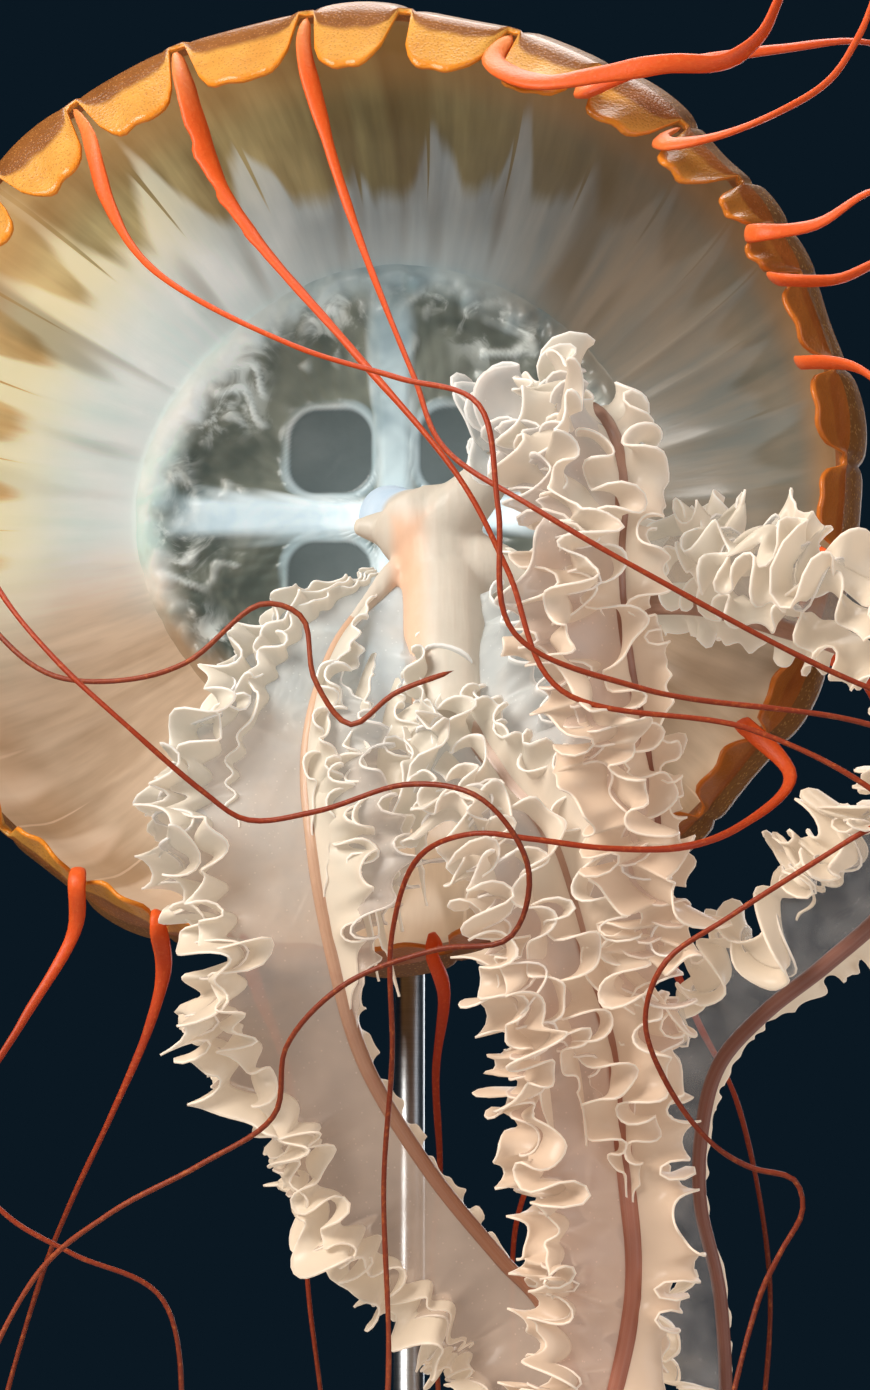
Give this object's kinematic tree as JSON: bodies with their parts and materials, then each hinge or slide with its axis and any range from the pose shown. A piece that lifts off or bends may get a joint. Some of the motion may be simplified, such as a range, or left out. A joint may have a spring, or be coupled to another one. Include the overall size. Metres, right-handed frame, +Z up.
{
  "type": "life-size sea nettle jellyfish model on a stand",
  "caption": "Still, life-size sea nettle jellyfish with an open bell, frilled oral arms and long thin tentacles, held by a rod on a round display base.",
  "frame": {"origin": "centre of the display base's flat underside, which stands on the floor", "axes": "+Z up; +X to the right and -Y towards a viewer who looks into the open side of the bell; the bell's apex points to +Y and slightly up"},
  "size_m": [0.3604, 0.3, 0.732],
  "materials": {
    "bell": "translucent jelly, blue-white and tan inside, golden brown at the rim",
    "manubrium": "smooth peach-pink flesh",
    "oral_arm": "milky translucent frills with a salmon midrib",
    "tentacle": "orange-red flesh, darker to the tip",
    "stand_base": "satin dark grey paint",
    "stand_rod": "fine brushed steel"
  },
  "bodies": {
    "root": {"bell": "bell", "manubrium": "manubrium", "oral_arm_left_upper": "oral_arm", "oral_arm_left_lower": "oral_arm", "oral_arm_middle_upper": "oral_arm", "oral_arm_middle_lower": "oral_arm", "oral_arm_right_upper": "oral_arm", "oral_arm_right_lower": "oral_arm", "oral_arm_far_upper": "oral_arm", "oral_arm_far_lower": "oral_arm", "tentacle_01_upper": "tentacle", "tentacle_01_lower": "tentacle", "tentacle_02_upper": "tentacle", "tentacle_02_lower": "tentacle", "tentacle_03_upper": "tentacle", "tentacle_03_lower": "tentacle", "tentacle_04_upper": "tentacle", "tentacle_04_lower": "tentacle", "tentacle_05_upper": "tentacle", "tentacle_05_lower": "tentacle", "tentacle_06_upper": "tentacle", "tentacle_06_lower": "tentacle", "tentacle_07_upper": "tentacle", "tentacle_07_lower": "tentacle", "tentacle_08_upper": "tentacle", "tentacle_08_lower": "tentacle", "tentacle_09_upper": "tentacle", "tentacle_09_lower": "tentacle", "tentacle_10_upper": "tentacle", "tentacle_10_lower": "tentacle", "tentacle_11_upper": "tentacle", "tentacle_11_lower": "tentacle", "tentacle_12_upper": "tentacle", "tentacle_12_lower": "tentacle", "tentacle_13_upper": "tentacle", "tentacle_13_lower": "tentacle", "tentacle_14_upper": "tentacle", "tentacle_14_lower": "tentacle", "tentacle_15_upper": "tentacle", "tentacle_15_lower": "tentacle", "tentacle_16_upper": "tentacle", "tentacle_16_lower": "tentacle", "tentacle_17_upper": "tentacle", "tentacle_17_lower": "tentacle", "tentacle_18_upper": "tentacle", "tentacle_18_lower": "tentacle", "tentacle_19_upper": "tentacle", "tentacle_19_lower": "tentacle", "tentacle_20_upper": "tentacle", "tentacle_20_lower": "tentacle", "tentacle_21_upper": "tentacle", "tentacle_21_lower": "tentacle", "tentacle_22_upper": "tentacle", "tentacle_22_lower": "tentacle", "tentacle_23_upper": "tentacle", "tentacle_23_lower": "tentacle", "tentacle_24_upper": "tentacle", "tentacle_24_lower": "tentacle", "stand_base": "stand_base", "stand_rod": "stand_rod"}
  },
  "joints": []
}
